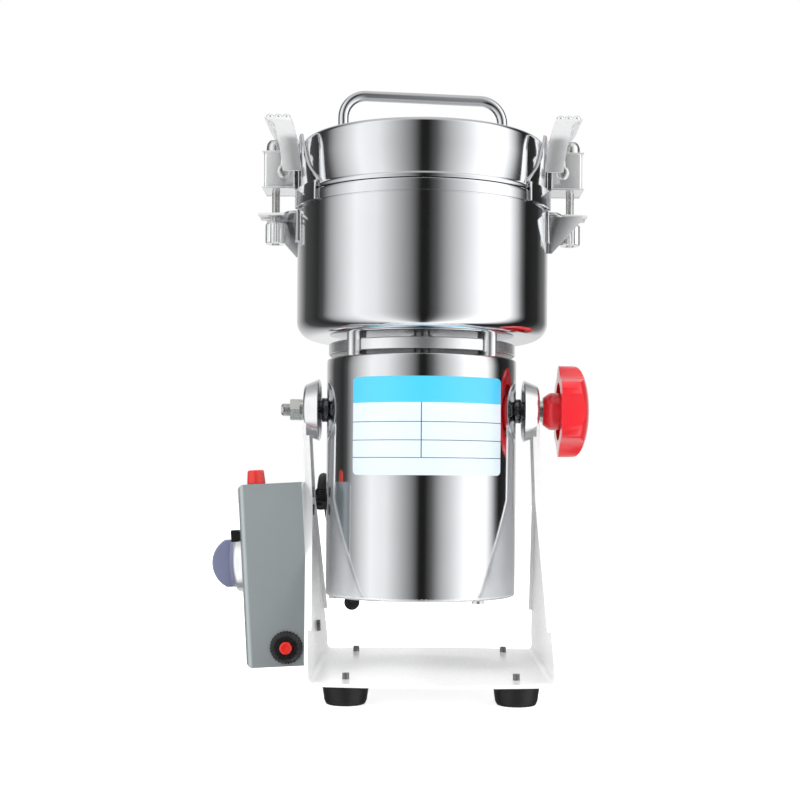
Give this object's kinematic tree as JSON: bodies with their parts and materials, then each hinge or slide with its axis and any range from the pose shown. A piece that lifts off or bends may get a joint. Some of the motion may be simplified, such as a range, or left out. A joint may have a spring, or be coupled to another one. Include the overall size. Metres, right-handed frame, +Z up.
{
  "type": "electric grain mill",
  "caption": "Tilting electric grain mill: a motor and steel jar with a clasped lid swing in a sheet steel stand that carries a control box.",
  "frame": {"origin": "on the table, below the middle of the mill's whole width and depth", "axes": "+Z up, +X towards the clamp knob, -Y towards the front, where the rating label is; the control box is on the -X arm"},
  "size_m": [0.2314, 0.174, 0.365],
  "materials": {
    "polished_bracket": "polished sheet steel",
    "rubber": "matt black",
    "dark_screw": "blackened",
    "box_grey": "satin grey paint",
    "cover_grey": "satin grey paint",
    "inner_plastic": "moulded",
    "collar": "satin",
    "black_plastic": "glossy",
    "red_lamp": "clear red",
    "black_nylon": "moulded",
    "cable": "satin black",
    "zinc": "zinc plated",
    "red_knob": "glossy red",
    "timer_grip": "satin violet grey",
    "red_button": "glossy red",
    "mirror_steel": "mirror polished stainless steel",
    "machined_disc": "fine turned, clear",
    "steel_post": "turned",
    "laminations": "stacked sheet",
    "copper": "varnished copper",
    "bell_metal": "die cast",
    "brass_holder": "pressed",
    "carbon": "pressed carbon",
    "label": "printed foil, blank",
    "seal": "lip seal",
    "blade_steel": "ground",
    "fan_black": "moulded",
    "gasket": "white silicone",
    "clasp_chrome": "plated"
  },
  "bodies": {
    "stand": {"stand_bracket": "polished_bracket", "rubber_feet": "rubber", "foot_screws": "dark_screw", "control_box": "box_grey", "box_cover": "cover_grey", "box_screws": "dark_screw", "timer_body": "inner_plastic", "timer_collar": "collar", "switch_frame": "black_plastic", "indicator_lamp": "red_lamp", "breaker_body": "black_nylon", "breaker_ring_nut": "black_nylon", "lead_gland": "rubber", "mains_gland": "rubber", "pivot_washers": "zinc", "motor_lead": "cable"},
    "mill": {"motor_housing": "mirror_steel", "motor_top": "mirror_steel", "bottom_cover": "mirror_steel", "cover_screws": "zinc", "support_disc": "machined_disc", "jar_posts": "steel_post", "stator_core": "laminations", "stator_windings": "copper", "motor_bearings": "steel_post", "end_bells": "bell_metal", "brush_holders": "brass_holder", "carbon_brushes": "carbon", "pivot_bosses": "dark_screw", "pivot_studs": "zinc", "motor_gland": "rubber", "rating_label": "label", "grinding_jar": "mirror_steel", "shaft_seal": "seal", "jar_screws": "zinc", "latch_brackets": "clasp_chrome"},
    "clamp_knob": {"clamp_knob": "red_knob"},
    "timer_knob": {"timer_knob": "timer_grip"},
    "switch_rocker": {"switch_rocker": "black_plastic"},
    "reset_button": {"reset_button": "red_button"},
    "rotor": {"motor_shaft": "steel_post", "armature": "laminations", "commutator": "copper", "cooling_fan": "fan_black", "lower_blade": "blade_steel", "upper_blade": "blade_steel", "blade_spacer": "steel_post", "blade_nut": "zinc"},
    "lid": {"lid_shell": "mirror_steel", "lid_gasket": "gasket", "lid_handle": "clasp_chrome", "lid_ears": "clasp_chrome"},
    "clasp_right": {"clasp_case_right": "clasp_chrome", "clasp_rod_right": "zinc"},
    "lever_right": {"clasp_lever_right": "clasp_chrome"},
    "nut_right": {"clasp_nut_right": "zinc"},
    "clasp_left": {"clasp_case_left": "clasp_chrome", "clasp_rod_left": "zinc"},
    "lever_left": {"clasp_lever_left": "clasp_chrome"},
    "nut_left": {"clasp_nut_left": "zinc"}
  },
  "joints": [
    {"name": "mill_tilt", "type": "hinge", "parent": "stand", "child": "mill", "pos_m": [0.01332, 0, 0.17], "axis": [1, 0, 0], "range_deg": [0, 100], "deforming": ["motor_lead"]},
    {"name": "clamp_knob_turn", "type": "hinge", "parent": "mill", "child": "clamp_knob", "pos_m": [0.10582, 0, 0.17], "axis": [1, 0, 0], "range_deg": [0, 270]},
    {"name": "timer_turn", "type": "hinge", "parent": "stand", "child": "timer_knob", "pos_m": [-0.09208, 0.008, 0.07568], "axis": [-0.9984, 0, -0.0568], "range_deg": [0, 300]},
    {"name": "switch_rock", "type": "hinge", "parent": "stand", "child": "switch_rocker", "pos_m": [-0.09309, -0.02356, 0.09347], "axis": [0, 1, 0], "range_deg": [0, 18]},
    {"name": "reset_press", "type": "slide", "parent": "stand", "child": "reset_button", "axis": [0, 1, 0], "range_m": [0, 0.002], "stiffness_N_per_m": 300, "springref_m": -0.002},
    {"name": "rotor_spin", "type": "hinge", "parent": "mill", "child": "rotor", "pos_m": [0.01332, 0, 0.2285], "axis": [0, 0, 1], "continuous": true},
    {"name": "lid_lift", "type": "slide", "parent": "mill", "child": "lid", "axis": [0, 0, 1], "range_m": [0, 0.06]},
    {"name": "clasp_swing_right", "type": "hinge", "parent": "mill", "child": "clasp_right", "pos_m": [0.10362, 0, 0.2885], "axis": [0, 1, 0], "range_deg": [0, 20]},
    {"name": "lever_lift_right", "type": "hinge", "parent": "clasp_right", "child": "lever_right", "pos_m": [0.09792, 0, 0.31363], "axis": [0, 1, 0], "range_deg": [0, 90]},
    {"name": "nut_turn_right", "type": "hinge", "parent": "clasp_right", "child": "nut_right", "pos_m": [0.10362, 0, 0.2805], "axis": [0, 0, 1], "range_deg": [-360, 360]},
    {"name": "clasp_swing_left", "type": "hinge", "parent": "mill", "child": "clasp_left", "pos_m": [-0.07698, 0, 0.2885], "axis": [0, -1, 0], "range_deg": [0, 20]},
    {"name": "lever_lift_left", "type": "hinge", "parent": "clasp_left", "child": "lever_left", "pos_m": [-0.07128, 0, 0.31363], "axis": [0, -1, 0], "range_deg": [0, 90]},
    {"name": "nut_turn_left", "type": "hinge", "parent": "clasp_left", "child": "nut_left", "pos_m": [-0.07698, 0, 0.2805], "axis": [0, 0, 1], "range_deg": [-360, 360]}
  ]
}
